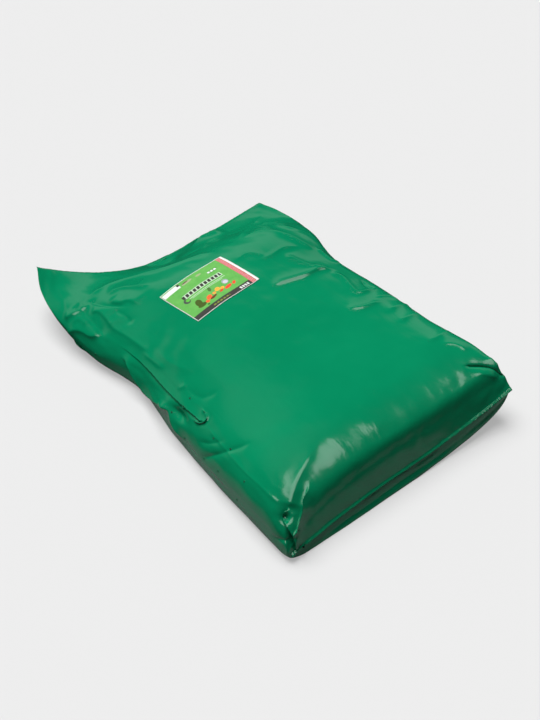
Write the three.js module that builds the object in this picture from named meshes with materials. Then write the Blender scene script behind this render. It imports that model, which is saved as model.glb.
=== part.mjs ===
// Filled compost bag lying on its back: one sealed film sack and the printed sticker on its front.
import * as THREE from 'three';

// Sticker: A6 stock, turned slightly on the sack, clear of the film by a hair so the two stay apart.
const STICKER_LENGTH = 148;
const STICKER_WIDTH = 105;
const STICKER_THICKNESS = 0.4;
const STICKER_GAP = 0.4;
const STICKER_CENTRE = [-30, 487];
const STICKER_TURN = THREE.MathUtils.degToRad(6);

// Heat-sealed fins beyond the filled part, at the bottom and at the top of the bag.
const FIN_THICKNESS = 1.2;
const FIN_LENGTH_BOTTOM = 5;
const FIN_LENGTH_TOP = 9;

// Gusset tucks: the V fold that the side gussets keep near each seal.
const TUCK_DEPTH_BOTTOM = 20;
const TUCK_REACH_BOTTOM = 75;
const TUCK_DEPTH_TOP = 24;
const TUCK_REACH_TOP = 110;
const TUCK_HALF_HEIGHT = 15;

// Points around one cross-section, and how finely each one is drawn before they are spaced evenly.
const AROUND = 76;
const DRAWN = 720;

// The sack is skinned over cross-sections. x runs across, y up the bag from its bottom, z up from
// the floor. crown is the middle of the upper film and belly the middle of the lower film, as y, z.
// left and right are the outermost points of the sides, as x, y, z. square is how boxy the section
// is at upper left, upper right and below (2 is a pointed lens above and an ellipse below). rings is
// the count of rings drawn from this section to the next.
const SECTIONS = [
  // bottom seal, pulled in under the end face
  {
    crown: [11, 32], belly: [11, 27], left: [-238, 2, 16], right: [246, 6, 64],
    square: [2, 2, 2], side: 0.5, rings: 2,
  },
  // lower end face
  {
    crown: [22, 65], belly: [4, 12], left: [-242, 4, 20], right: [247, 10, 62],
    square: [2.4, 3.5, 2.6], side: 0.42, rings: 3,
  },
  // upper end face
  {
    crown: [42, 94], belly: [2, -3], left: [-244, 13, 25], right: [244, 18, 58],
    square: [2.8, 5.5, 4], side: 0.38, rings: 3,
  },
  // rounded rim over the end face
  {
    crown: [85, 114.5], belly: [55, -4], left: [-245, 57, 28], right: [240, 65, 54],
    square: [3.3, 6, 5], side: 0.34, rings: 5,
  },
  // full body
  {
    crown: [180, 119.5], belly: [180, -4], left: [-243, 180, 28], right: [236, 180, 48],
    square: [3, 4.6, 5], side: 0.34, rings: 5,
  },
  {
    crown: [310, 120], belly: [310, -4], left: [-236, 310, 28], right: [232, 310, 48],
    square: [2.7, 4, 5], side: 0.34, rings: 5,
  },
  // waist
  {
    crown: [440, 119], belly: [440, -4], left: [-222, 440, 32], right: [221, 420, 52],
    square: [2.5, 3.6, 5], side: 0.34, rings: 5,
  },
  // crest where the fill ends and the film starts to fall
  {
    crown: [545, 111], belly: [530, -4], left: [-247, 550, 34], right: [236, 500, 70],
    square: [2.35, 3, 4], side: 0.36, rings: 5,
  },
  // empty neck, its two sides curling up
  {
    crown: [612, 85], belly: [600, -2], left: [-258, 640, 50], right: [246, 565, 80],
    square: [2.2, 2.3, 3], side: 0.42, rings: 3,
  },
  {
    crown: [662, 50], belly: [655, 4], left: [-253, 710, 68], right: [240, 625, 80],
    square: [2, 2, 2], side: 0.5, rings: 3,
  },
  // top seal between its two lifted ears
  {
    crown: [705, 22], belly: [705, 18], left: [-231, 762, 86], right: [233, 672, 74],
    square: [2, 2, 2], side: 0.5, rings: 0,
  },
];

const sum = (a, b) => a.map((value, i) => value + b[i]);
const scaled = (a, k) => a.map((value) => value * k);
const between = (a, b) => sum(b, scaled(a, -1));

// Every number of a section as one list, so that a section can be interpolated whole.
const flat = (s) => [...s.crown, ...s.belly, ...s.left, ...s.right, ...s.square, s.side];

// Smooth curve through four neighbouring lists, at share u of the way from the second to the third.
function smooth(p0, p1, p2, p3, u) {
  return p1.map((value, i) => 0.5 * (
    2 * value
    + (p2[i] - p0[i]) * u
    + (2 * p0[i] - 5 * value + 4 * p2[i] - p3[i]) * u * u
    + (3 * value - p0[i] - 3 * p2[i] + p3[i]) * u * u * u
  ));
}

// Depth of the gusset's V fold at a place y up the bag.
function tuckDepth(y, topY) {
  const low = Math.max(0, 1 - y / TUCK_REACH_BOTTOM);
  const high = Math.max(0, 1 - (topY - y) / TUCK_REACH_TOP);
  return TUCK_DEPTH_BOTTOM * low * low * (3 - 2 * low) + TUCK_DEPTH_TOP * high * high * (3 - 2 * high);
}

// One point of a section: a superellipse bent so that its sides may run ahead of and above its middle.
function sectionPoint(numbers, angle, fold) {
  const [crownY, crownZ, bellyY, bellyZ, leftX, leftY, leftZ, rightX, rightY, rightZ, ul, ur, below, share] = numbers;
  const c = Math.cos(angle);
  const s = Math.sin(angle);
  const upper = c >= 0 ? ur : ul;
  const n = s >= 0 ? upper : below;
  const across = Math.abs(c) ** (2 / n);
  const lens = s >= 0 ? Math.min(n, 1.05 + 1.8 * (n - 2)) : n;
  const rise = Math.abs(s) ** (2 / lens);
  const [sideX, sideY, sideZ] = c >= 0 ? [rightX, rightY, rightZ] : [leftX, leftY, leftZ];
  const [tipY, tipZ] = s >= 0 ? [crownY, crownZ] : [bellyY, bellyZ];
  const midY = bellyY + (crownY - bellyY) * share;
  const midZ = bellyZ + (crownZ - bellyZ) * share;
  const bend = across ** 1.8;
  const z = midZ + (sideZ - midZ) * bend + (tipZ - midZ) * rise;
  const inward = fold * Math.exp(-(((z - sideZ) / TUCK_HALF_HEIGHT) ** 2)) * across ** 6;
  return [
    sideX * across - Math.sign(sideX) * inward,
    midY + (sideY - midY) * bend + (tipY - midY) * rise,
    Math.max(z, 0),
  ];
}

// The section as evenly spaced points, starting at the right-hand side and going over the top.
function ring(numbers, fold) {
  const fine = Array.from({ length: DRAWN + 1 }, (_, i) => sectionPoint(numbers, (2 * Math.PI * i) / DRAWN, fold));
  const length = [0];
  for (let i = 1; i <= DRAWN; i += 1) {
    length.push(length[i - 1] + Math.hypot(...between(fine[i - 1], fine[i])));
  }
  const points = [];
  let k = 0;
  for (let i = 0; i < AROUND; i += 1) {
    const wanted = (length[DRAWN] * i) / AROUND;
    while (length[k + 1] < wanted) {
      k += 1;
    }
    const share = (wanted - length[k]) / (length[k + 1] - length[k]);
    points.push(sum(fine[k], scaled(between(fine[k], fine[k + 1]), share)));
  }
  return points;
}

// The seal's fin: the end ring pressed to film thickness, then carried outwards.
function finRings(end, outward) {
  const opposite = (i) => (AROUND - i) % AROUND;
  const squeeze = (shift) => end.map((point, i) => {
    const other = end[opposite(i)];
    const middle = scaled(sum(point, other), 0.5);
    const gap = Math.hypot(...between(middle, point));
    const keep = gap > 0 ? Math.min(1, FIN_THICKNESS / 2 / gap) : 0;
    const [x, y, z] = sum(sum(middle, scaled(between(middle, point), keep)), shift);
    return [x, y, Math.max(z, 0)];
  });
  return [squeeze(scaled(outward, 0.2)), squeeze(outward)];
}

// Closed skin over a list of rings, with a strip of quads across each end.
function skin(rings) {
  const index = [];
  const quad = (a, b, c, d) => index.push(a, b, c, a, c, d);
  const at = (r, i) => r * AROUND + (i % AROUND);
  for (let r = 0; r < rings.length - 1; r += 1) {
    for (let i = 0; i < AROUND; i += 1) {
      quad(at(r, i), at(r + 1, i), at(r + 1, i + 1), at(r, i + 1));
    }
  }
  const half = AROUND / 2;
  const last = rings.length - 1;
  for (let i = 0; i < half; i += 1) {
    const j = AROUND - i;
    if (i === 0) {
      index.push(at(0, 0), at(0, 1), at(0, j - 1));
      index.push(at(last, 0), at(last, j - 1), at(last, 1));
    } else if (i === half - 1) {
      index.push(at(0, i), at(0, half), at(0, j));
      index.push(at(last, i), at(last, j), at(last, half));
    } else {
      quad(at(0, i), at(0, i + 1), at(0, j - 1), at(0, j));
      quad(at(last, i), at(last, j), at(last, j - 1), at(last, i + 1));
    }
  }
  const geometry = new THREE.BufferGeometry();
  geometry.setAttribute('position', new THREE.Float32BufferAttribute(rings.flat(2), 3));
  geometry.setIndex(index);
  geometry.computeVertexNormals();
  return geometry;
}

function sackGeometry() {
  const lists = SECTIONS.map(flat);
  const last = lists.length - 1;
  const before = sum(scaled(lists[0], 2), scaled(lists[1], -1));
  const after = sum(scaled(lists[last], 2), scaled(lists[last - 1], -1));
  const padded = [before, ...lists, after];
  const topY = SECTIONS[last].crown[0];
  const rings = [];
  for (let k = 0; k < last; k += 1) {
    for (let step = 0; step < SECTIONS[k].rings; step += 1) {
      const numbers = smooth(padded[k], padded[k + 1], padded[k + 2], padded[k + 3], step / SECTIONS[k].rings);
      rings.push(ring(numbers, tuckDepth(numbers[0], topY)));
    }
  }
  rings.push(ring(lists[last], TUCK_DEPTH_TOP));
  const bottomFin = finRings(rings[0], [0, -FIN_LENGTH_BOTTOM * 0.8, -FIN_LENGTH_BOTTOM * 0.6]).reverse();
  const topFin = finRings(rings[rings.length - 1], [0, FIN_LENGTH_TOP * 0.9, -FIN_LENGTH_TOP * 0.4]);
  return skin([...bottomFin, ...rings, ...topFin]);
}

// Thin sticker that follows the upper film: a grid of points dropped on to it, then given thickness.
function stickerGeometry(sack) {
  const columns = 10;
  const rows = 7;
  const caster = new THREE.Raycaster();
  const down = new THREE.Vector3(0, 0, -1);
  const cos = Math.cos(STICKER_TURN);
  const sin = Math.sin(STICKER_TURN);
  const positions = [];
  for (const lift of [STICKER_GAP, STICKER_GAP + STICKER_THICKNESS]) {
    for (let r = 0; r <= rows; r += 1) {
      for (let c = 0; c <= columns; c += 1) {
        const u = STICKER_LENGTH * (c / columns - 0.5);
        const v = STICKER_WIDTH * (r / rows - 0.5);
        const x = STICKER_CENTRE[0] + u * cos - v * sin;
        const y = STICKER_CENTRE[1] + u * sin + v * cos;
        caster.set(new THREE.Vector3(x, y, 500), down);
        positions.push(x, y, caster.intersectObject(sack)[0].point.z + lift);
      }
    }
  }
  const layer = (rows + 1) * (columns + 1);
  const at = (level, r, c) => level * layer + r * (columns + 1) + c;
  const index = [];
  const quad = (a, b, c, d) => index.push(a, b, c, a, c, d);
  for (let r = 0; r < rows; r += 1) {
    for (let c = 0; c < columns; c += 1) {
      quad(at(1, r, c), at(1, r, c + 1), at(1, r + 1, c + 1), at(1, r + 1, c));
      quad(at(0, r, c), at(0, r + 1, c), at(0, r + 1, c + 1), at(0, r, c + 1));
    }
  }
  for (let c = 0; c < columns; c += 1) {
    quad(at(0, 0, c), at(0, 0, c + 1), at(1, 0, c + 1), at(1, 0, c));
    quad(at(0, rows, c), at(1, rows, c), at(1, rows, c + 1), at(0, rows, c + 1));
  }
  for (let r = 0; r < rows; r += 1) {
    quad(at(0, r, 0), at(1, r, 0), at(1, r + 1, 0), at(0, r + 1, 0));
    quad(at(0, r, columns), at(0, r + 1, columns), at(1, r + 1, columns), at(1, r, columns));
  }
  const geometry = new THREE.BufferGeometry();
  geometry.setAttribute('position', new THREE.Float32BufferAttribute(positions, 3));
  geometry.setIndex(index);
  geometry.computeVertexNormals();
  return geometry;
}

const film = new THREE.MeshStandardMaterial({ color: 0x009163, roughness: 0.3, metalness: 0 });
const print = new THREE.MeshStandardMaterial({ color: 0x5cba3c, roughness: 0.4, metalness: 0 });
film.side = THREE.DoubleSide;

const sack = new THREE.Mesh(sackGeometry(), film);
sack.name = 'filled_sack';
const sticker = new THREE.Mesh(stickerGeometry(sack), print);
sticker.name = 'label';

// The part's origin is at the middle of its footprint, on the floor.
const box = new THREE.Box3().setFromObject(sack);
const middle = box.getCenter(new THREE.Vector3());
for (const mesh of [sack, sticker]) {
  mesh.geometry.translate(-middle.x, -middle.y, -box.min.z);
}

const part = new THREE.Group();
part.name = 'compost_bag';
part.add(sack, sticker);

export default part;
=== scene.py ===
# %% [markdown]
# # A filled compost bag on its back
# The bag is one folded sheet of green polyethylene film: a tube with a gusset down each side, welded
# shut across its bottom and its top, with about thirty litres of compost inside. It lies on its back,
# so the filling makes a flat slab, and the empty neck beyond it goes limp and curls up at its corners.
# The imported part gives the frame: every size and place below is in metres in that frame.

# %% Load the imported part
import math
import bpy
import numpy as np
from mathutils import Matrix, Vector


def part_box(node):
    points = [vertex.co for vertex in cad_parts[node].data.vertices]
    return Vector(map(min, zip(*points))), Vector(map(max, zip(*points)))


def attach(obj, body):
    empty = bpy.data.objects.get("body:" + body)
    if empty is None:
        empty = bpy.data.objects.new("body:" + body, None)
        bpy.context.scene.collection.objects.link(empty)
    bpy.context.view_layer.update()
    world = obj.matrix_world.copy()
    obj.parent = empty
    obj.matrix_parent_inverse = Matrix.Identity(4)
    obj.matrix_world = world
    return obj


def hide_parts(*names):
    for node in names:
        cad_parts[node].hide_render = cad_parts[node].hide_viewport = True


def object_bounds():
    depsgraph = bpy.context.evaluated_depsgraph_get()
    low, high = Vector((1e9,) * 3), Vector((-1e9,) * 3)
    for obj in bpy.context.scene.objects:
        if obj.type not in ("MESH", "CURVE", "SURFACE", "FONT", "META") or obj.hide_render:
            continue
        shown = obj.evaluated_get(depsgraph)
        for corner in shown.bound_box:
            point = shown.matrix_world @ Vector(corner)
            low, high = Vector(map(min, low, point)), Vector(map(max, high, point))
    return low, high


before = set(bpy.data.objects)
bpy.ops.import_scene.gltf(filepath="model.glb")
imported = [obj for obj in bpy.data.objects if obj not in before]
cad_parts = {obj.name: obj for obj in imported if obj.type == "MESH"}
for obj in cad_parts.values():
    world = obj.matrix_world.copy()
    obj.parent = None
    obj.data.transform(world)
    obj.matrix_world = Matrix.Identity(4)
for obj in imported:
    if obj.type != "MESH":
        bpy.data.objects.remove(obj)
CAD_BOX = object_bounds()
print("packed part:", sorted(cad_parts), "box", [tuple(round(v, 4) for v in c) for c in CAD_BOX])

# %% [markdown]
# ## The sack's sections
# A filled bag changes its section along its length: a flat weld, an end face, a rounded rim, a slab,
# a waist, a slope where the filling ends, and a limp neck. Eleven listed sections say this, and a
# smooth curve runs through each of their numbers. Lofting them gives one even grid all over the sack,
# which a simulation and a subdivision both like.

# %% Sections, measured from the bottom weld: x across, y along, z up
SECTIONS = np.array([
    # crown y, z   belly y, z     left x, y, z         right x, y, z       squareness          side height
    [.011, .031,   .011, .027,   -.238, .002, .016,   .246, .006, .066,   2.0, 2.0, 2.0,   .50],
    [.024, .066,   .004, .012,   -.242, .004, .020,   .247, .010, .062,   2.4, 3.5, 2.6,   .42],
    [.041, .095,   .001, -.003,  -.244, .013, .025,   .244, .018, .058,   2.8, 5.5, 4.0,   .38],
    [.095, .117,   .055, -.004,  -.245, .055, .028,   .240, .065, .054,   3.3, 6.0, 5.0,   .34],
    [.180, .1195,  .180, -.004,  -.243, .180, .028,   .236, .180, .048,   3.0, 4.6, 5.0,   .34],
    [.310, .120,   .310, -.004,  -.236, .310, .028,   .232, .310, .048,   2.7, 4.0, 5.0,   .34],
    [.440, .119,   .440, -.004,  -.222, .440, .032,   .221, .420, .052,   2.5, 3.6, 5.0,   .34],
    [.545, .111,   .530, -.004,  -.247, .550, .034,   .236, .500, .070,   2.35, 3.0, 4.0,   .36],
    [.612, .085,   .600, -.002,  -.258, .640, .050,   .246, .565, .080,   2.2, 2.3, 3.0,   .42],
    [.662, .050,   .655, .004,   -.253, .710, .068,   .240, .625, .080,   2.0, 2.0, 2.0,   .50],
    [.705, .022,   .705, .018,   -.231, .762, .086,   .233, .672, .074,   2.0, 2.0, 2.0,   .50],
])
print("sections", SECTIONS.shape, "from", SECTIONS[0, 0], "to", SECTIONS[-1, 0], "m along the sack")


# %% A smooth curve through rows of numbers
def smooth_through(table, where):
    """Catmull-Rom curve through the rows: at share u past row k it blends rows k-1 to k+2 by a cubic in u."""
    k = np.clip(where.astype(int), 0, len(table) - 2)
    u = (where - k)[:, None]
    rows = np.vstack([2 * table[0] - table[1], table, 2 * table[-1] - table[-2]])
    a, b, c, d = (rows[k + i] for i in range(4))
    return 0.5 * (2 * b + (c - a) * u + (2 * a - 5 * b + 4 * c - d) * u**2 + (3 * b - a - 3 * c + d) * u**3)


# %% [markdown]
# ## One section
# Film pulled round a filling is neither a circle nor a box. A superellipse runs between the two by one
# number, its power: 2 is an ellipse and 6 is nearly a box. Each upper quarter gets its own power and the
# lower half one more, and the upper half is flattened to a lens where the neck is empty. Its sides may sit
# ahead of and above its middle, because the end welds bow and the ears of the neck curl.

# %% One section
def section_points(numbers, angle):
    """Points (x, y, z) of each section by angle: a superellipse, |x|^n + |z|^m = 1, with m = n below and
    m = min(n, 1.05 + 1.8 (n - 2)) above. Its sides are carried ahead of and above its middle by |x|^bend."""
    crown, belly, left, right, square, share = np.split(numbers[:, :, None], [2, 4, 7, 10, 13], axis=1)
    c, s = np.cos(angle)[None, :], np.sin(angle)[None, :]
    power = np.where(s >= 0, np.where(c >= 0, square[:, 1], square[:, 0]), square[:, 2])
    lens = np.where(s >= 0, np.minimum(power, 1.05 + 1.8 * (power - 2)), power)
    across, rise = np.abs(c) ** (2 / power), np.abs(s) ** (2 / lens)
    side = [np.where(c >= 0, right[:, i], left[:, i]) for i in range(3)]
    tip = [np.where(s >= 0, crown[:, i], belly[:, i]) for i in range(2)]
    middle = [belly[:, i] + (crown[:, i] - belly[:, i]) * share[:, 0] for i in range(2)]
    bend = across ** (1.8 + np.where(s >= 0, 2.4 * np.exp(-(((crown[:, :1, 0] - .08) / .05) ** 2)), 0))
    y, z = (middle[i] + (side[i + 1] - middle[i]) * bend + (tip[i] - middle[i]) * rise for i in range(2))
    return np.stack([side[0] * across, y, np.maximum(z, 0)], axis=-1)


# %% Even spacing along a line
def evenly(lines, count, density):
    """Resamples each polyline to count points, an equal share of its running length times density apart."""
    step = np.linalg.norm(np.diff(lines, axis=1), axis=2) * density
    run = np.concatenate([np.zeros((len(lines), 1)), np.cumsum(step, axis=1)], axis=1)
    share = np.linspace(0, 1, count)
    return np.array([
        np.stack([np.interp(share * r[-1], r, line[:, i]) for i in range(3)], -1)
        for r, line in zip(run, lines)
    ])


# %% [markdown]
# ## The loft
# The sections are read at places that are evenly spaced along the crown, so a rounded rim gets as many
# rings as a flat stretch of the same length. The upper half of each ring gets twice the points of the lower
# half, which only lies on the floor, and both halves crowd their points a little at the side folds, where
# the film turns sharply.

# %% Loft
OVER, UNDER, ALONG = 280, 140, 420
FINE_ANGLES, CROWDING, CROWD_WIDTH = 721, 1.1, .25
crown_line = smooth_through(SECTIONS, np.linspace(0, len(SECTIONS) - 1, 800))
travel = np.concatenate([[0], np.cumsum(np.hypot(*np.diff(crown_line[:, :2], axis=0).T) + .0002)])
stations = np.interp(np.linspace(0, travel[-1], ALONG), travel, np.linspace(0, len(SECTIONS) - 1, 800))
numbers = smooth_through(SECTIONS, stations)
halves = []
for start, count in [(0, OVER), (np.pi, UNDER)]:
    angle = start + np.linspace(0, np.pi, FINE_ANGLES)
    middle = (angle[1:] + angle[:-1]) / 2
    density = 1 + CROWDING * np.exp(-((np.abs(np.cos(middle)) - 1) / CROWD_WIDTH) ** 2)
    halves.append(evenly(section_points(numbers, angle), count + 1, density)[:, :-1])
rings = np.concatenate(halves, axis=1)
print("loft", rings.shape, "box", rings.reshape(-1, 3).min(0).round(4), rings.reshape(-1, 3).max(0).round(4))

# %% [markdown]
# ## Welded fins
# A heat seal presses the two films together and leaves a thin, flat fin beyond it. It could be a separate
# strip, but it is the same film, so it is made from the end ring itself: each point above is paired with
# the point below it, the pair is pressed together to the thickness of the fin, and the pressed ring is
# carried outwards a few steps.

# %% Welded fins
def at_shares(half, share):
    """The places at each share of the way along a half ring, by straight interpolation."""
    steps = np.linspace(0, 1, len(half))
    return np.stack([np.interp(share, steps, half[:, i]) for i in range(3)], -1)


def fin(ring, outward, thickness=.0011, steps=4):
    """The end ring pressed flat about the middle of its thickness, then carried outwards in even steps."""
    share = np.concatenate([np.arange(OVER) / OVER, 1 - np.arange(UNDER) / UNDER])
    top, bottom = ring[:OVER + 1], np.vstack([ring[OVER:], ring[:1]])[::-1]
    above = (np.arange(len(ring)) < OVER)[:, None]
    other = np.where(above, at_shares(bottom, share), at_shares(top, share))
    half = (ring - other) / 2
    gap = np.linalg.norm(half, axis=1, keepdims=True) + 1e-9
    pressed = (ring + other) / 2 + half * np.minimum(1, thickness / 2 / gap)
    return pressed[None] + np.linspace(0.15, 1, steps)[:, None, None] * np.array(outward)


# %% [markdown]
# ## Which way is out
# A fold stands up from the film, so it needs the film's own direction at each point. On a grid that is the
# cross product of the two directions that its lines run in, worked out for all points at once.

# %% Normals of a grid
def outward_normals(surface):
    """Cross product of the grid's two directions, each from the next point minus the one before."""
    lengthwise = np.gradient(surface, axis=0)
    round_about = np.roll(surface, -1, axis=1) - np.roll(surface, 1, axis=1)
    normal = np.cross(lengthwise, round_about)
    return normal / (np.linalg.norm(normal, axis=2, keepdims=True) + 1e-12)


# %% [markdown]
# ## Folds
# Film that is slack here and tight there gathers into long creases, and where there is a lot to spare one
# part lies over another in a flap. A simulation makes such folds where it likes, so the ones that give this
# sack its look are listed one by one instead: a curve of a few points on the film, a crest or a groove along
# it that is steeper on one side, and for a flap a sideways slide that carries the film over itself.

# %% A fold's curve
def curve_on(points, place, count=64):
    """Smooth curve through given points, drawn on to the surface: each step takes the mean of the
    nearest places, weighted by exp(-(distance / 4 mm)^2), and is then eased along the curve."""
    guide = smooth_through(np.array(points, float), np.linspace(0, len(points) - 1, count))
    gap = ((guide[:, None] - place[None]) ** 2).sum(-1)
    weight = np.exp(-(gap - gap.min(1, keepdims=True)) / .004**2)
    curve = (weight[..., None] * place[None]).sum(1) / weight.sum(1, keepdims=True)
    for _ in range(3):
        curve[1:-1] = (curve[:-2] + 2 * curve[1:-1] + curve[2:]) / 4
    return curve


def ease(share):
    """Runs smoothly from 0 to 1 as share does."""
    share = np.clip(share, 0, 1)
    return share * share * (3 - 2 * share)


# %% A fold
def fold(surface, normals, points, height, width, steep, slide, lift, ends):
    """Raises a crest height x exp(-|d| / width), narrower by steep on its right. slide carries the left side
    over the right one by slide x tanh(-d / width), and lift raises the side that goes over."""
    flat = surface.reshape(-1, 3)
    corners = np.array(points)
    margin = .012 + 4 * width
    near = np.flatnonzero(((flat > corners.min(0) - margin) & (flat < corners.max(0) + margin)).all(1))
    place, normal = flat[near], normals.reshape(-1, 3)[near]
    curve = curve_on(points, place)
    offset = place[:, None] - curve[None]
    gap = (offset**2).sum(-1)
    weight = np.exp(-(gap - gap.min(1, keepdims=True)) / .005**2)
    weight /= weight.sum(1, keepdims=True)
    heading = np.gradient(curve, axis=0)
    heading /= np.linalg.norm(heading, axis=1, keepdims=True) + 1e-9
    heading = weight @ heading
    heading /= np.linalg.norm(heading, axis=1, keepdims=True) + 1e-9
    sideways = np.cross(heading, normal)
    sideways /= np.linalg.norm(sideways, axis=1, keepdims=True) + 1e-9
    offset = (weight[..., None] * offset).sum(1)
    side, ahead = (offset * sideways).sum(1), (offset * heading).sum(1)
    share = weight @ np.linspace(0, 1, len(curve))
    strength = ease(share / ends[0]) * ease((1 - share) / ends[1]) * np.exp(-((ahead / .006) ** 2))
    strength *= ease(2 - gap.min(1) ** .5 / (2 * width))
    crest = height * np.exp(.2 - np.sqrt((side / np.where(side > 0, width * steep, width)) ** 2 + .04))
    over = -np.tanh(side / (width * .3)) * np.exp(-((side / (width * 2)) ** 2))
    moved = flat.copy()
    moved[near] += normal * (strength * (crest + lift * over))[:, None]
    moved[near] += sideways * (strength * slide * over)[:, None]
    return moved.reshape(surface.shape)


# %% A dent
def dent(surface, normals, centre, depth, radius, stretch=(1, 1, 1)):
    """Pushes the surface in along its normals by depth x exp(-(distance / radius)^2), the radius being
    multiplied by stretch along x, y and z."""
    away = (surface - np.array(centre)) / (radius * np.array(stretch))
    return surface - normals * (depth * np.exp(-(away**2).sum(-1)))[..., None]


# %% [markdown]
# ## Slack film
# Where the bag has film to spare, at the waist, under the crest and round the left ear, it settles into
# small soft wrinkles that nobody would place by hand. Blender's Cloth makes those: each spring's rest length
# comes from a copy of the grid that is stretched over each slack patch, so the film there is too long for
# its place and has to buckle. A coarse grid is settled, and only how far each point moved is kept, smoothed
# and laid on the fine grid, so the simulation stays quick and never touches the shape as a whole.

# %% Slack patches
SLACK = [
    # centre, direction that the spare film runs in, radius, share of spare length
    ((.150, .400, .115), (.2, 1, 0), .10, .10),
    ((.200, .300, .105), (0, 1, 0), .10, .10),
    ((.170, .520, .105), (.5, 1, 0), .10, .12),
    ((-.190, .585, .080), (1, -.6, 0), .07, .14),
    ((-.190, .585, .080), (.6, 1, 0), .07, .12),
    ((-.215, .400, .075), (.3, .2, 1), .09, .08),
    ((-.080, .640, .080), (.3, 1, 0), .08, .10),
    ((.060, .640, .075), (.2, 1, 0), .08, .10),
    ((-.210, .060, .080), (1, 0, -.5), .06, .06),
    ((-.235, .200, .050), (0, 1, .6), .09, .06),
    ((.215, .120, .100), (0, 1, 0), .08, .08),
]
FIRM, LOOSE, STICKER_HOLD, BEND, PRESSURE, CAP = .5, .02, .5, .4, 2.0, .010
STICKER_MIDDLE, STICKER_REACH = (-.030, .487, .113), (.085, .062, .03)
COARSE, COARSE_AROUND, SETTLING_FRAMES, ROUGHNESS, SEED = 3, 2, 18, .0003, 7


# %% Settling by cloth simulation
def settle(grid):
    """Cloth on the grid. Its springs' rest lengths come from a copy that is stretched over each slack patch
    by amount x radius x tanh(d / radius), d being the distance from the patch's centre along its way."""
    flat = grid.reshape(-1, 3)
    rest, loose = flat.copy(), np.zeros(len(flat))
    for centre, way, radius, amount in SLACK:
        way = np.array(way) / np.linalg.norm(way)
        away = flat - np.array(centre)
        along = away @ way
        beside = (away**2).sum(1) - along**2
        loose = np.maximum(loose, np.exp(-(along**2 + beside) / radius**2))
        rest = rest + (amount * radius * np.tanh(along / radius) * np.exp(-beside / radius**2))[:, None] * way
    count, around, _ = grid.shape
    row, col = np.meshgrid(np.arange(count - 1), np.arange(around), indexing="ij")
    near, far = row * around + col, row * around + (col + 1) % around
    mesh = bpy.data.meshes.new("settling")
    rough = np.random.default_rng(SEED).normal(0, 1, grid.shape)
    for _ in range(4):
        lengthwise = np.roll(rough, 1, 0) + np.roll(rough, -1, 0)
        rough = (lengthwise + np.roll(rough, 1, 1) + np.roll(rough, -1, 1)) / 4
    rough = (rough / rough.std() * ROUGHNESS).reshape(-1, 3)
    faces = np.stack([near, near + around, far + around, far], -1).reshape(-1, 4)
    mesh.from_pydata(flat + rough, [], faces.tolist())
    piece = bpy.data.objects.new("settling", mesh)
    bpy.context.scene.collection.objects.link(piece)
    piece.shape_key_add(name="Basis")
    spare = piece.shape_key_add(name="spare")
    spare.data.foreach_set("co", rest.ravel())
    ring = np.repeat(np.arange(count), around)
    pinned = (ring < 2) | (ring > count - 3) | (flat[:, 2] < .0015)
    hold = np.where(pinned, 1.0, FIRM + (LOOSE - FIRM) * loose)
    under_sticker = np.exp(-(((flat - STICKER_MIDDLE) / STICKER_REACH) ** 2).sum(1))
    hold = np.round(np.maximum(hold, STICKER_HOLD * under_sticker), 2)
    group = piece.vertex_groups.new(name="hold")
    for value in np.unique(hold):
        group.add(np.flatnonzero(hold == value).tolist(), float(value), "REPLACE")
    cloth = piece.modifiers.new("cloth", "CLOTH")
    film = cloth.settings
    film.rest_shape_key, film.vertex_group_mass = spare, "hold"
    film.quality, film.mass, film.air_damping = 5, .2, 1.0
    film.tension_stiffness = film.compression_stiffness = 30
    film.shear_stiffness, film.bending_stiffness = 10, BEND
    film.tension_damping = film.compression_damping = film.shear_damping = 8
    film.use_pressure, film.uniform_pressure_force = True, PRESSURE
    film.effector_weights.gravity = 0
    cloth.collision_settings.use_collision = False
    cloth.point_cache.frame_start, cloth.point_cache.frame_end = 1, SETTLING_FRAMES
    for frame_number in range(1, SETTLING_FRAMES + 1):
        bpy.context.scene.frame_set(frame_number)
    settled = piece.evaluated_get(bpy.context.evaluated_depsgraph_get())
    place = np.empty(flat.size, np.float32)
    settled.data.vertices.foreach_get("co", place)
    bpy.data.objects.remove(piece)
    bpy.context.scene.frame_set(1)
    move = (place.reshape(-1, 3) - flat).reshape(grid.shape)
    inner = move[1:-1]
    move[1:-1] = inner / 2 + (move[:-2] + move[2:]) / 8 + (np.roll(inner, 1, 1) + np.roll(inner, -1, 1)) / 8
    move = move.reshape(-1, 3)
    length = np.linalg.norm(move, axis=1, keepdims=True)
    print("settled: mean move %.2f mm, most %.2f mm" % (length.mean() * 1000, length.max() * 1000))
    return (move * np.minimum(1, CAP / np.maximum(length, 1e-9))).reshape(grid.shape)


# %% The settled film on the fine grid
picked = np.arange(0, ALONG, COARSE)
picked[-1] = ALONG - 1
move = settle(rings[picked][:, ::COARSE_AROUND])
move = np.concatenate([move, move[:, :1]], axis=1)
fine = np.linspace(0, move.shape[1] - 1, rings.shape[1], endpoint=False)
move = smooth_through(move.transpose(1, 0, 2).reshape(move.shape[1], -1), fine)
move = move.reshape(len(fine), -1, 3)
steps = np.interp(np.arange(ALONG), picked, np.arange(len(picked)))
move = smooth_through(move.transpose(1, 0, 2).reshape(len(picked), -1), steps).reshape(rings.shape)
rings = rings + move

# %% [markdown]
# ## Fins, folds and dents in place
# The fins go on after the settling, which holds the end rings still. The whole film is then centred on the
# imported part, so it stands where that part stands.

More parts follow.
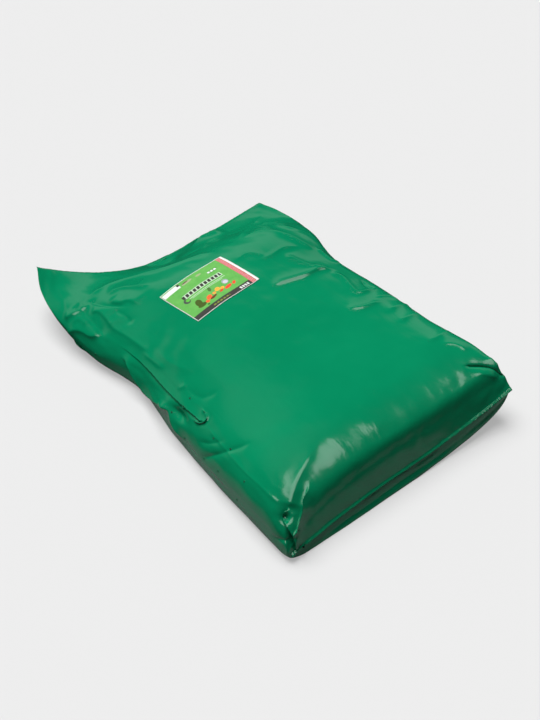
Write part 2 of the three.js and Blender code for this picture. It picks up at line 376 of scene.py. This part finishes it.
# %% Fins, and the film centred on the part
bottom_fin = fin(rings[0], (0, -.004, -.003))[::-1]
top_fin = fin(rings[-1], (0, .008, -.003))
rings = np.concatenate([bottom_fin, rings, top_fin])
SHIFT = np.array([
    (CAD_BOX[0][i] + CAD_BOX[1][i]) / 2 - (rings[..., i].min() + rings[..., i].max()) / 2 for i in range(3)
])
SHIFT[2] = 0
print("rings with fins", rings.shape, "shift to the part's middle", SHIFT.round(4))

# %% Folds of this sack
FOLDS = [
    # height, width, steepness of the right side, slide, lift, the share of the length over which the start
    # and the stop fade; then the points (x, y, z) of its curve
    # the upper film hangs over the left gusset, and ends in a small stiff tip
    (.0010, .0035, .5, .006, .0016, .45, .05,
     (-.225, .534, .070), (-.214, .470, .068), (-.211, .417, .069), (-.214, .368, .072),
     (-.216, .318, .076), (-.215, .285, .079), (-.213, .256, .081)),
    (.0035, .003, .5, .002, .001, .2, .1,
     (-.221, .278, .072), (-.219, .261, .075), (-.212, .252, .081), (-.204, .256, .086),
     (-.203, .275, .088)),
    # lower edge of the gusset, and the film that comes out from under the tip
    (.005, .007, .6, .004, .003, .2, .1,
     (-.227, .492, .056), (-.223, .470, .050), (-.223, .455, .038), (-.222, .432, .028),
     (-.223, .409, .026), (-.229, .360, .044), (-.230, .330, .053)),
    (.005, .006, 1, 0, 0, .2, .3,
     (-.228, .368, .044), (-.230, .335, .053), (-.235, .310, .036), (-.238, .270, .030)),
    # the gusset's crease runs on to the corner
    (.0012, .003, 1, 0, 0, .1, .1,
     (-.215, .252, .080), (-.221, .180, .078), (-.223, .133, .078), (-.222, .090, .079),
     (-.221, .049, .075)),
    # creases in the film above the flap
    (-.002, .008, 1, 0, 0, .3, .3, (-.196, .335, .088), (-.191, .294, .093), (-.160, .277, .104)),
    (.002, .006, 1, 0, 0, .3, .3, (-.205, .343, .082), (-.193, .335, .090)),
    (.002, .010, .5, 0, 0, .3, .3, (-.205, .463, .082), (-.202, .425, .084), (-.198, .392, .087)),
    (.002, .022, .8, 0, 0, .3, .3,
     (-.140, .440, .106), (-.152, .360, .105), (-.146, .285, .107), (-.124, .219, .112)),
    (.0018, .012, .7, 0, 0, .3, .3, (-.185, .448, .089), (-.183, .393, .092), (-.168, .335, .100)),
    # crumples of the left ear
    (.004, .020, .25, 0, 0, .2, .3,
     (-.169, .623, .083), (-.140, .615, .086), (-.121, .592, .094), (-.096, .573, .101)),
    (.0045, .020, .25, 0, 0, .2, .2,
     (-.178, .607, .085), (-.166, .582, .091), (-.151, .571, .096), (-.143, .544, .100)),
    (.0045, .018, .25, 0, 0, .2, .2,
     (-.216, .607, .077), (-.203, .595, .082), (-.204, .564, .083), (-.207, .540, .082)),
    (-.004, .008, 1, 0, 0, .2, .2, (-.182, .579, .089), (-.178, .551, .092), (-.180, .520, .092)),
    (.005, .020, .25, 0, 0, .2, .2,
     (-.254, .636, .059), (-.241, .629, .068), (-.225, .627, .074), (-.204, .628, .079)),
    (-.004, .014, .4, 0, 0, .1, .2,
     (-.229, .641, .073), (-.221, .622, .076), (-.223, .597, .075), (-.225, .570, .073),
     (-.226, .540, .070)),
    (.005, .018, .25, 0, 0, .2, .2,
     (-.255, .622, .034), (-.248, .593, .058), (-.241, .565, .060), (-.227, .553, .070)),
    (.002, .014, .4, 0, 0, .2, .2, (-.247, .615, .063), (-.234, .609, .070), (-.233, .588, .069)),
    (-.004, .010, .3, 0, 0, .2, .3, (-.200, .640, .077), (-.188, .600, .084), (-.160, .560, .094)),
    (.004, .014, .5, 0, 0, .2, .3, (-.212, .560, .081), (-.200, .500, .084), (-.196, .440, .088)),
    # crest, where the film falls away from the filling
    (.004, .012, .6, 0, 0, .15, .2,
     (-.198, .648, .076), (-.165, .650, .075), (-.138, .652, .071), (-.102, .640, .075),
     (-.052, .610, .090), (.013, .590, .100), (.053, .571, .104)),
    (-.003, .008, 1, 0, 0, .2, .2,
     (-.120, .672, .062), (-.060, .655, .066), (.010, .640, .072), (.080, .640, .070)),
    (.014, .020, .8, 0, 0, .4, .4,
     (.050, .676, .043), (.086, .673, .046), (.114, .664, .053), (.140, .660, .057)),
    (-.008, .020, 1, 0, 0, .4, .4, (-.040, .684, .034), (.000, .683, .036), (.040, .679, .039)),
    # front left corner: the rim's edge, the pocket's edge and the tuck below them
    (.004, .010, 1, 0, 0, .1, .5,
     (-.216, .033, .078), (-.202, .043, .089), (-.185, .055, .098), (-.161, .066, .105),
     (-.135, .078, .111), (-.115, .085, .114)),
    (.005, .006, 1, .005, .003, .4, .1,
     (-.167, .044, .100), (-.177, .034, .092), (-.191, .029, .084), (-.200, .020, .071),
     (-.210, .015, .060), (-.219, .011, .044)),
    (.003, .006, 1, .009, .004, .1, .1,
     (-.219, .033, .076), (-.226, .029, .069), (-.226, .019, .059), (-.224, .012, .047),
     (-.223, .008, .033), (-.228, .003, .012)),
    (-.003, .004, 1, 0, 0, .3, .3, (-.245, .042, .028), (-.241, .014, .039), (-.223, .009, .036)),
    # left side below the flap
    (-.003, .005, .8, 0, 0, .2, .3,
     (-.241, .228, .035), (-.232, .196, .066), (-.209, .172, .086), (-.186, .158, .096)),
    (-.0018, .005, .8, 0, 0, .3, .3, (-.235, .244, .057), (-.229, .220, .069), (-.210, .195, .085)),
    # right waist
    (.005, .010, .4, 0, 0, .2, .3,
     (.049, .416, .120), (.082, .407, .121), (.119, .397, .122), (.151, .395, .120), (.180, .378, .116)),
    (.004, .008, .6, 0, 0, .2, .3,
     (.128, .467, .121), (.134, .439, .121), (.144, .410, .120), (.171, .378, .118)),
    (.004, .007, .6, 0, 0, .2, .2,
     (.161, .379, .119), (.170, .356, .118), (.164, .326, .119), (.166, .302, .119), (.225, .295, .096)),
    (.004, .006, .5, 0, 0, .2, .2,
     (.194, .456, .113), (.193, .431, .112), (.193, .411, .111), (.208, .396, .103)),
    (-.004, .006, 1, 0, 0, .3, .3, (.200, .340, .111), (.194, .310, .115), (.206, .302, .111)),
    (.004, .010, .5, 0, 0, .3, .3, (.114, .286, .122), (.142, .269, .121), (.190, .262, .116)),
    (.003, .008, .6, 0, 0, .3, .3,
     (.079, .486, .119), (.109, .482, .120), (.139, .484, .121), (.169, .467, .119)),
    (.004, .012, .6, 0, 0, .2, .2,
     (.103, .573, .105), (.149, .561, .110), (.168, .514, .119), (.177, .477, .118), (.186, .445, .115)),
    (.003, .008, .6, 0, 0, .3, .3, (.183, .605, .091), (.184, .552, .111), (.206, .504, .114)),
    (.002, .008, .6, 0, 0, .3, .3, (.047, .514, .116), (.080, .517, .117), (.102, .483, .120)),
    (.004, .012, .7, 0, 0, .3, .3, (.091, .567, .107), (.158, .614, .086), (.214, .645, .077)),
    # right rim
    (.003, .009, .6, 0, 0, .3, .2, (.163, .203, .121), (.194, .204, .117), (.223, .204, .104)),
    (.003, .009, .6, 0, 0, .3, .2, (.164, .236, .120), (.202, .237, .114), (.227, .237, .098)),
    (.003, .008, .6, 0, 0, .3, .2, (.172, .278, .119), (.205, .270, .112), (.214, .254, .108)),
    (.0025, .008, .6, 0, 0, .3, .2, (.164, .135, .122), (.195, .133, .121), (.227, .139, .108)),
    (.0025, .008, .6, 0, 0, .3, .3, (.181, .119, .123), (.202, .102, .122), (.210, .076, .122)),
    (-.009, .0045, .8, .003, .002, .3, .05,
     (.180, .062, .119), (.205, .048, .117), (.224, .036, .108), (.240, .023, .087)),
    (.0015, .006, .6, 0, 0, .3, .3, (.190, .040, .108), (.212, .028, .100), (.228, .020, .088)),
    (.004, .005, 1, 0, 0, .3, .3, (.232, .055, .111), (.235, .041, .107), (.239, .031, .097)),
]
print("folds", len(FOLDS))

# %% Folds, dents and the floor
normals = outward_normals(rings)
for height, width, steep, slide, lift, start, stop, *points in FOLDS:
    rings = fold(rings, normals, points, height, width, steep, slide, lift, (start, stop))
rings = dent(rings, normals, (-.226, .029, .069), .010, .007)
rings = dent(rings, normals, (-.231, .312, .064), .014, .009, (1, 2.2, 1))
rings = dent(rings, normals, (-.150, .500, .105), .007, .070)
rings[..., 2] = np.maximum(rings[..., 2], 0)
rings = rings + SHIFT
print("film", rings.reshape(-1, 3).min(0).round(4), rings.reshape(-1, 3).max(0).round(4))

# %% [markdown]
# ## From rings to a closed piece
# Quads join each ring to the next. Each end ring is already pressed flat into a fin, so a strip that zips
# its upper half to its lower half closes it without a pole. The upper half has twice the points, so each
# face of the strip takes three points above and two below.

# %% The film sack
def closed_tube(name, rings):
    """Quads between neighbouring rings, and a strip of quads that zips each end ring's top to its bottom."""
    count, around, _ = rings.shape
    row, col = np.meshgrid(np.arange(count - 1), np.arange(around), indexing="ij")
    near, far = row * around + col, row * around + (col + 1) % around
    faces = np.stack([near, near + around, far + around, far], -1).reshape(-1, 4)
    k = np.arange(UNDER)
    strip = np.stack([2 * k, 2 * k + 1, 2 * k + 2, around - k - 1, (around - k) % around], -1)
    last_strip = strip[:, ::-1] + (count - 1) * around
    polygons = faces.tolist() + strip.tolist() + last_strip.tolist()
    mesh = bpy.data.meshes.new(name)
    mesh.from_pydata(rings.reshape(-1, 3), [], polygons)
    mesh.validate()
    mesh.shade_smooth()
    piece = bpy.data.objects.new(name, mesh)
    bpy.context.scene.collection.objects.link(piece)
    return piece


sack = closed_tube("film_sack", rings)
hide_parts("filled_sack")
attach(sack, "root")
print("film sack faces", len(sack.data.polygons))

# %% [markdown]
# ## Air holes
# A few holes are pricked through the film with a hot pin, so the bag can be pressed flat on a pallet. Each
# leaves a dark pit with a small raised lip. They could be a pattern in the material, but a real ring catches
# the light, so each is a small round piece: a closed profile spun round the film's own outward direction.

# %% Where the air holes are
AIR_HOLES = np.array([
    (-.222, .417, .019), (-.222, .310, .077), (-.205, .310, .090), (-.238, .277, .037), (-.224, .220, .080),
    (-.219, .180, .085), (-.241, .220, .040), (-.242, .180, .047), (-.234, .121, .073), (-.244, .129, .028),
    (-.231, .326, .059), (-.246, .544, .033),
])
HOLE_RADIUS, LIP_RADIUS, LIP_WIRE, HOLE_DEPTH, HOLE_RISE = .0013, .0018, .0005, .0003, .0002


# %% Round pieces spun about an axis
def spun(name, profile, places, axes, turns=12):
    """Closed round pieces: each place + r (cos t a + sin t b) + h n, for every (r, h) of a closed profile."""
    a = np.cross(axes, (0, 0, 1.0))
    a /= np.linalg.norm(a, axis=1, keepdims=True)
    b = np.cross(axes, a)
    t = np.linspace(0, 2 * np.pi, turns, endpoint=False)[None, :, None, None]
    r, h = (profile[None, None, :, i, None] for i in range(2))
    a, b, axes, places = (each[:, None, None, :] for each in (a, b, axes, places))
    points = places + r * (np.cos(t) * a + np.sin(t) * b) + h * axes
    count, steps = len(points), len(profile)
    one, turn, step = np.meshgrid(np.arange(count), np.arange(turns), np.arange(steps), indexing="ij")
    here, turned = (one * turns + turn) * steps, (one * turns + (turn + 1) % turns) * steps
    after = (step + 1) % steps
    faces = np.stack([here + step, here + after, turned + after, turned + step], -1).reshape(-1, 4)
    mesh = bpy.data.meshes.new(name)
    mesh.from_pydata(points.reshape(-1, 3), [], faces.tolist())
    mesh.shade_smooth()
    piece = bpy.data.objects.new(name, mesh)
    bpy.context.scene.collection.objects.link(piece)
    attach(piece, "root")
    return piece


# %% Lips and pits
surface = rings.reshape(-1, 3)
nearest = ((AIR_HOLES[:, None] + SHIFT - surface[None]) ** 2).sum(-1).argmin(1)
hole_places, hole_axes = surface[nearest], outward_normals(rings).reshape(-1, 3)[nearest]
t = np.linspace(0, 2 * np.pi, 9)[:-1]
lip = np.stack([LIP_RADIUS + LIP_WIRE * np.cos(t), -LIP_WIRE * np.sin(t)], -1)
pit = np.array([
    (.00002, HOLE_RISE), (HOLE_RADIUS * .8, HOLE_RISE), (HOLE_RADIUS, 0),
    (HOLE_RADIUS * .8, -HOLE_DEPTH), (.00002, -HOLE_DEPTH),
])
lips = spun("air_hole_lips", lip, hole_places, hole_axes)
pits = spun("air_holes", pit, hole_places, hole_axes)
snapped = np.linalg.norm(hole_places - SHIFT - AIR_HOLES, axis=1).max()
print("air holes", len(hole_places), "snapped to the film from at most %.1f mm" % (snapped * 1000))

# %% [markdown]
# ## A small language for shader maths
# A material is a graph of nodes, and arithmetic in it means a Math node for each sign. Wrapping a socket in
# a small class whose operators add those nodes lets a pattern be written as the formula that it is. Colours
# go through Mix nodes, because a Math node would turn them grey.

# %% Sockets with operators
class Term:
    """A socket in a node tree. Adding, multiplying and so on with it adds the Math node that does it."""

    def __init__(self, tree, socket):
        self.tree, self.socket = tree, socket

    def math(self, operation, *values):
        """The Math node of an operation whose first input is this socket and whose others are the values."""
        inputs = dict(enumerate((self, *values)))
        return add_node(self.tree, "ShaderNodeMath", {"operation": operation}, inputs)

    def __add__(self, other):
        return self.math("ADD", other)

    def __rsub__(self, other):
        return add_node(self.tree, "ShaderNodeMath", {"operation": "SUBTRACT"}, {0: other, 1: self})

    def __mul__(self, other):
        return self.math("MULTIPLY", other)

    def __gt__(self, other):
        return self.math("GREATER_THAN", other)

    def __lt__(self, other):
        return self.math("LESS_THAN", other)

    __radd__ = __add__


# %% Any other node
def add_node(tree, kind, settings=None, inputs=None, output=0):
    """Adds one node: its settings first, then each input's value or link, and gives the chosen output."""
    node = tree.nodes.new(kind)
    for name, value in (settings or {}).items():
        if name == "stops":
            ramp = node.color_ramp.elements
            while len(ramp) < len(value):
                ramp.new(1.0)
            for stop, (position, colour) in zip(ramp, value):
                stop.position, stop.color = position, (*colour, 1) if len(colour) == 3 else colour
        else:
            setattr(node, name, value)
    for name, value in (inputs or {}).items():
        if isinstance(value, Term):
            tree.links.new(value.socket, node.inputs[name])
        else:
            node.inputs[name].default_value = value
    return Term(tree, node.outputs[output])


# %% A material's start and end
def new_material(name):
    """An empty material, and the tree that its pattern is built in."""
    material = bpy.data.materials.new(name)
    material.use_nodes = True
    material.node_tree.nodes.clear()
    return material, material.node_tree


def mix_colour(tree, factor, first, second):
    """The colour that runs from the first to the second as the factor goes from 0 to 1."""
    inputs = {0: factor, 6: first, 7: second}
    return add_node(tree, "ShaderNodeMix", {"data_type": "RGBA"}, inputs, output=2)


def finish_material(tree, **inputs):
    """Adds the surface shader with these inputs, their names written with underscores, and the output."""
    values = {name.replace("_", " "): value for name, value in inputs.items()}
    shader = add_node(tree, "ShaderNodeBsdfPrincipled", {}, values)
    surface_out = tree.nodes.new("ShaderNodeOutputMaterial")
    tree.links.new(shader.socket, surface_out.inputs["Surface"])


# %% [markdown]
# ## Film
# Blown polyethylene is coloured right through and glossy on both sides. The colour drifts a little with the
# film's thickness, so a broad noise mixes two greens and the roughness follows it. Three heights make its
# relief: a long stretched ripple from blowing, a ridged crease from handling, and a fine grain. They are
# small, because the folds that show are in the mesh.

# %% Film
DEEP_GREEN, CLEAR_GREEN = (.0004, .130, .056, 1), (.0010, .172, .074, 1)
film, tree = new_material("green_film")
place = add_node(tree, "ShaderNodeTexCoord", output=3)
mottle = add_node(tree, "ShaderNodeTexNoise", {}, {"Vector": place, "Scale": 7.0, "Detail": 4.0})
tint = mix_colour(tree, mottle, DEEP_GREEN, CLEAR_GREEN)
along_film = {"Vector": place, "Rotation": (.2, .1, .5), "Scale": (1, .35, 1)}
stretched = add_node(tree, "ShaderNodeMapping", {}, along_film)
ripple_form = {"Vector": stretched, "Scale": 26.0, "Detail": 3.0, "Distortion": .6}
ripple = add_node(tree, "ShaderNodeTexNoise", {}, ripple_form)
ridged = {"noise_type": "RIDGED_MULTIFRACTAL"}
crease = add_node(tree, "ShaderNodeTexNoise", ridged, {"Vector": place, "Scale": 11.0, "Detail": 3.0})
fine = add_node(tree, "ShaderNodeTexNoise", {}, {"Vector": place, "Scale": 260.0, "Detail": 2.0})
relief = ripple + crease * .12 + fine * .03
bump = add_node(tree, "ShaderNodeBump", {}, {"Strength": .25, "Distance": .0035, "Height": relief})
matt = .11 + mottle * .08
finish_material(tree, Base_Color=tint, Roughness=matt, IOR=1.47, Normal=bump)
sack.data.materials.append(film)
lips.data.materials.append(film)

# %% The shade inside the air holes
shade, tree = new_material("hole_shade")
place = add_node(tree, "ShaderNodeTexCoord", output=3)
grain = add_node(tree, "ShaderNodeTexNoise", {}, {"Vector": place, "Scale": 400.0})
dark = mix_colour(tree, grain, (.001, .006, .004, 1), (.002, .012, .008, 1))
finish_material(tree, Base_Color=dark, Roughness=.9)
pits.data.materials.append(shade)

# %% [markdown]
# ## Label
# The sticker is one flat sheet pressed on to film that isn't quite flat. Draping it by simulation would
# gain nothing, since it sticks wherever it touches. It is a grid whose height is read off the film: at each
# place the mean of the film's near points, which also smooths out what a stiff sheet would bridge. It is
# laid a little proud, and Solidify gives it its thickness.

# %% Label
LABEL_LENGTH, LABEL_WIDTH, LABEL_TURN, LABEL_THICKNESS = .148, .105, math.radians(6), .0004
LABEL_LIFT = .0007
low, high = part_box("label")
centre = np.array([(low[i] + high[i]) / 2 for i in range(2)])


def height_over(points, surface, reach=.004):
    """Height of the film's upper side at each place: the mean of its near points, weighted by
    exp(-(distance / reach)^2)."""
    inside = (np.abs(surface[..., :2] - points.mean(0)) < np.ptp(points, axis=0) / 2 + 3 * reach).all(-1)
    upper = surface[inside & (surface[..., 2] > .04)]
    gap = ((points[:, None] - upper[None, :, :2]) ** 2).sum(-1)
    weight = np.exp(-gap / reach**2)
    return weight @ upper[:, 2] / weight.sum(1)


def label_sheet(columns=75, rows=53):
    """A turned rectangle: the place (u, v) lies at centre + ((u - 1/2) length, (v - 1/2) width), turned, and
    LABEL_LIFT above the film there."""
    u, v = np.meshgrid(np.linspace(0, 1, columns), np.linspace(0, 1, rows), indexing="ij")
    along, up = (u - .5) * LABEL_LENGTH, (v - .5) * LABEL_WIDTH
    cos, sin = math.cos(LABEL_TURN), math.sin(LABEL_TURN)
    flat = centre + np.stack([along * cos - up * sin, along * sin + up * cos], -1).reshape(-1, 2)
    z = height_over(flat, rings) + LABEL_LIFT
    places = np.concatenate([flat, z[:, None]], axis=1)
    row, col = np.meshgrid(np.arange(columns - 1), np.arange(rows - 1), indexing="ij")
    near = (row * rows + col).ravel()
    faces = np.stack([near, near + rows, near + rows + 1, near + 1], -1)
    mesh = bpy.data.meshes.new("label_sheet")
    mesh.from_pydata(places, [], faces.tolist())
    mesh.uv_layers.new(name="print")
    corners = np.stack([u.ravel(), v.ravel()], -1)[faces.ravel()]
    mesh.uv_layers["print"].data.foreach_set("uv", corners.ravel())
    mesh.shade_smooth()
    piece = bpy.data.objects.new("label_sheet", mesh)
    bpy.context.scene.collection.objects.link(piece)
    thick = piece.modifiers.new("thickness", "SOLIDIFY")
    thick.thickness, thick.offset = LABEL_THICKNESS, 1
    return piece


sticker = label_sheet()
print("label", len(sticker.data.polygons), "faces, turned", round(math.degrees(LABEL_TURN), 1), "degrees")
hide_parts("label")
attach(sticker, "root")

# %% [markdown]
# ## Print on the label
# The print is a pattern on the sheet's own UV map: u along it and v across it. Each mark is a mask that is 1
# inside an ellipse or a box and 0 outside, and the inks are laid over each other in the order of the list.
# The marks are plain fields, blocks and spots and spell nothing. A mask is one or two Math nodes that
# multiply and add, because many vector nodes make a shader too big for the renderer.

# %% Masks on the label
paper, tree = new_material("label_print")
ASPECT = LABEL_LENGTH / LABEL_WIDTH
uv = add_node(tree, "ShaderNodeUVMap", {"uv_map": "print"})
u, v = (add_node(tree, "ShaderNodeSeparateXYZ", {}, {"Vector": uv}, output=i) for i in range(2))


def plane(a, b, c):
    """a x u + b x v + c."""
    return u.math("MULTIPLY_ADD", a, v.math("MULTIPLY_ADD", b, c))


def spot(cu, cv, long, short, turn=0.0):
    """1 inside an ellipse with these half axes, in label widths, turned by turn degrees."""
    cos, sin = math.cos(math.radians(turn)), math.sin(math.radians(turn))
    x = plane(ASPECT * cos / long, sin / long, -(cu * ASPECT * cos + cv * sin) / long)
    y = plane(-ASPECT * sin / short, cos / short, (cu * ASPECT * sin - cv * cos) / short)
    return x.math("MULTIPLY_ADD", x, y * y) < 1.0


def block(u0, u1, v0, v1):
    """1 inside a box of the print, in shares of its length and width."""
    return (u > u0) * (u < u1) * (v > v0) * (v < v1)


def bars(pitch, filled, lean=0.0):
    """1 over the first part, filled, of each pitch along u, each bar leaning by lean."""
    return plane(1 / pitch, -lean / pitch, 0).math("FRACT") < filled


def paint(under, mask, colour):
    """The colour laid over what is under it wherever the mask is 1."""
    return mix_colour(tree, mask, under, (*colour, 1))


# %% Inks and marks
WHITE, BLACK, LEAF = (.54, .56, .54), (.035, .033, .03), (.012, .10, .012)
speckle = add_node(tree, "ShaderNodeTexNoise", {}, {"Vector": uv, "Scale": 9.0, "Detail": 4.0})
scatter = add_node(tree, "ShaderNodeTexVoronoi", {}, {"Vector": uv, "Scale": 7.0, "Randomness": 1.0})
colour = mix_colour(tree, speckle, (.055, .24, .045, 1), (.13, .36, .080, 1))
PALE, GREY = (.36, .48, .34), (.22, .27, .25)
PRINT = [
    # small leaves, a dark band with a pale mark and a row of digits' worth of blocks
    (LEAF, lambda: (scatter < .12) * (speckle > .47)),
    (BLACK, lambda: block(.0, .90, .015, .125)),
    ((.16, .19, .03), lambda: block(.30, .56, .055, .085) * bars(.05, .7)),
    (WHITE, lambda: block(.715, .865, .038, .092) * bars(.0385, .62, -.1)),
    # title: dark blocks on a pale band, with two thin lines under it
    (PALE, lambda: block(.16, .76, .512, .665) * (1 - block(.0, 1.0, .525, .56))),
    (BLACK, lambda: block(.135, .745, .575, .652) * bars(.0585, .70, .12)),
    (PALE, lambda: block(.22, .70, .484, .494)),
    ((.05, .06, .05), lambda: spot(.145, .51, .062, .062)),
    ((.08, .34, .04), lambda: spot(.160, .517, .038, .036)),
    # a heap of round fruit beside a dark leaf
    ((.045, .075, .012), lambda: spot(.21, .315, .085, .060, 70)),
    ((.045, .075, .012), lambda: spot(.215, .23, .085, .045)),
    ((.05, .13, .03), lambda: spot(.45, .43, .055, .030, 70)),
    ((.62, .10, .03), lambda: spot(.36, .285, .065, .045, 30)),
    ((.62, .10, .03), lambda: spot(.30, .225, .038, .034)),
    ((.10, .03, .015), lambda: spot(.40, .235, .080, .024, 10)),
    ((.55, .25, .05), lambda: spot(.45, .30, .038, .030)),
    ((.66, .30, .04), lambda: spot(.52, .335, .052, .042, 20)),
    ((.66, .30, .04), lambda: spot(.58, .30, .045, .030, 10)),
    ((.45, .04, .02), lambda: spot(.54, .255, .05, .022, 15)),
    ((.60, .05, .025), lambda: spot(.65, .255, .085, .034, 12)),
    ((.60, .05, .025), lambda: spot(.75, .265, .045, .028, 40)),
    # badges
    (GREY, lambda: spot(.684, .395, .064, .062)),
    ((.42, .42, .47), lambda: spot(.684, .385, .046, .040)),
    ((.05, .20, .03), lambda: spot(.72, .79, .115, .036, 6)),
    (WHITE, lambda: block(.645, .795, .77, .81) * bars(.05, .72)),
    ((.24, .29, .16), lambda: spot(.37, .885, .115, .030, 4)),
    ((.24, .29, .16), lambda: spot(.55, .875, .060, .024)),
    ((.10, .07, .05), lambda: spot(.35, .905, .070, .014, 4)),
    (WHITE, lambda: block(.015, .265, .865, .968)),
    (BLACK, lambda: block(.238, .275, .915, .968)),
    # striped end and the bare edge
    ((.38, .06, .065), lambda: block(.900, .965, -1, 2)),
    ((.52, .31, .30), lambda: block(.908, .962, .02, .98) * bars(.0185, .35)),
    (WHITE, lambda: 1 - block(.010, .966, .014, .988)),
]
for ink, mask in PRINT:
    colour = paint(colour, mask(), ink)
finish_material(tree, Base_Color=colour, Roughness=0.42, Specular_IOR_Level=0.35)
sticker.data.materials.append(paper)
print("marks", len(PRINT), "nodes", len(tree.nodes))

# %% [markdown]
# ## Floor
# A plain pale floor. What the eye sees of it is half a lit surface, which takes the soft shadow, and half a
# glow, which keeps it pale to the edges. The light that it bounces on to the bag and its reflection in the
# film are set apart from that. The reflection is a painted pool of light: pale near the bag, and painted
# dark a short way out.

# %% Floor
FLOOR_BELOW, FLOOR_HALF = .0005, 30
floor_mesh = bpy.data.meshes.new("floor")
corners = [(x * FLOOR_HALF, y * FLOOR_HALF, -FLOOR_BELOW) for x, y in [(-1, -1), (1, -1), (1, 1), (-1, 1)]]
floor_mesh.from_pydata(corners, [], [(0, 1, 2, 3)])
floor = bpy.data.objects.new("floor", floor_mesh)
bpy.context.scene.collection.objects.link(floor)
ground, tree = new_material("pale_floor")
lit = add_node(tree, "ShaderNodeBsdfDiffuse", {}, {"Color": (.44, .44, .44, 1)})
glow = add_node(tree, "ShaderNodeEmission", {}, {"Color": (.86, .86, .86, 1)})
seen = add_node(tree, "ShaderNodeMixShader", {}, {0: .45, 1: lit, 2: glow})
bounced = add_node(tree, "ShaderNodeBsdfDiffuse", {}, {"Color": (.30, .30, .30, 1)})
mirrored = add_node(tree, "ShaderNodeBsdfDiffuse", {}, {"Color": (.19, .19, .19, 1)})
is_glossy = add_node(tree, "ShaderNodeLightPath", output=3)
floor_place = add_node(tree, "ShaderNodeTexCoord", output=3)
middle = {0: floor_place, 1: (0, -.2, 0)}
reach = add_node(tree, "ShaderNodeVectorMath", {"operation": "DISTANCE"}, middle, output=1)
# painted light: what the film reflects of the floor is a painted pool, pale near the bag and painted dark
# (.004) a short way out
painted_light_pool = (2.9 - reach * 6.0).math("MAXIMUM", 0.0).math("MINIMUM", 1.0)
dark = add_node(tree, "ShaderNodeBsdfDiffuse", {}, {"Color": (.004, .004, .004, 1)})
mirrored = add_node(tree, "ShaderNodeMixShader", {}, {0: painted_light_pool, 1: dark, 2: mirrored})
indirect = add_node(tree, "ShaderNodeMixShader", {}, {0: is_glossy, 1: bounced, 2: mirrored})
in_view = add_node(tree, "ShaderNodeLightPath", output=0)
both = add_node(tree, "ShaderNodeMixShader", {}, {0: in_view, 1: indirect, 2: seen})
out = tree.nodes.new("ShaderNodeOutputMaterial")
tree.links.new(both.socket, out.inputs["Surface"])
floor_mesh.materials.append(ground)
print("floor", 2 * FLOOR_HALF, "m wide")

# %% [markdown]
# ## Surroundings
# The room is dark but for a pale card behind the bag, low down, that gives the film's far slopes their long
# sheen. It is painted on the world by direction: a band in height, times how far round to the back right.
# The lens itself sees a plain pale wall in its place.

# %% Surroundings
world = bpy.data.worlds.new("studio")
bpy.context.scene.world = world
world.use_nodes = True
tree = world.node_tree
tree.nodes.clear()
direction = add_node(tree, "ShaderNodeTexCoord", output=0)
x, y, z = (add_node(tree, "ShaderNodeSeparateXYZ", {}, {"Vector": direction}, output=i) for i in range(3))
behind = ((x * .6 + y * .8) * 1.5).math("MAXIMUM", 0.0).math("MINIMUM", 1.0)
band = [(0.0, (.02,) * 3), (0.18, (.05,) * 3), (0.32, (1,) * 3), (0.50, (1,) * 3), (0.62, (0,) * 3)]
low_down = add_node(tree, "ShaderNodeValToRGB", {"stops": band}, {"Fac": z})
glow = low_down * (.012 + behind * .46) + .010
in_view = add_node(tree, "ShaderNodeLightPath", output=0)
backdrop = add_node(tree, "ShaderNodeBackground", {}, {"Color": glow + in_view * .85, "Strength": 1.0})
out = tree.nodes.new("ShaderNodeOutputWorld")
tree.links.new(backdrop.socket, out.inputs["Surface"])
print("world nodes", len(tree.nodes))

# %% [markdown]
# ## Lights
# One broad soft box from behind lights the top of the bag and leaves its near end in shade. A second one,
# nearer the front, only shows as a reflection: it is the long highlight on the rim.

# %% Lights
def sun(name, towards, spread, strength):
    """A distant soft box: even light from a disc of sky, spread degrees wide, around a direction."""
    lamp = bpy.data.lights.new(name, "SUN")
    lamp.energy, lamp.angle = strength, math.radians(spread)
    holder = bpy.data.objects.new(name, lamp)
    bpy.context.scene.collection.objects.link(holder)
    holder.rotation_euler = Vector(towards).to_track_quat("Z", "Y").to_euler()
    return holder


key = sun("key_softbox", (.0, .36, .92), 44, 6.3)
key.visible_glossy = False
sheen = sun("sheen_softbox", (-.01, -.30, .95), 52, 2.4)
sheen.visible_diffuse = False
print("lights", [light.name for light in (key, sheen)])

# %% [markdown]
# ## Camera
# The camera looks down at the near left corner of the bag from a good arm's reach away. Its place is worked
# out from the point that it looks at, a direction and a distance, so each can be changed alone.

# %% Camera
bpy.context.scene.view_settings.view_transform = "Standard"

elevation, azimuth, distance = math.radians(44.32), math.radians(-38.57), 1.8812
level = math.cos(elevation)
back = np.array([math.sin(azimuth) * level, -math.cos(azimuth) * level, math.sin(elevation)])
aim = np.array([-.021, .3244, .05]) + SHIFT
lens = bpy.data.cameras.new("view")
lens.sensor_width, lens.lens = 36, 53.55
camera = bpy.data.objects.new("view", lens)
bpy.context.scene.collection.objects.link(camera)
camera.location = aim + back * distance
camera.rotation_euler = Vector(back).to_track_quat("Z", "Y").to_euler()
bpy.context.scene.camera = camera
print("camera at", [round(c, 3) for c in camera.location], "lens", lens.lens, "mm")
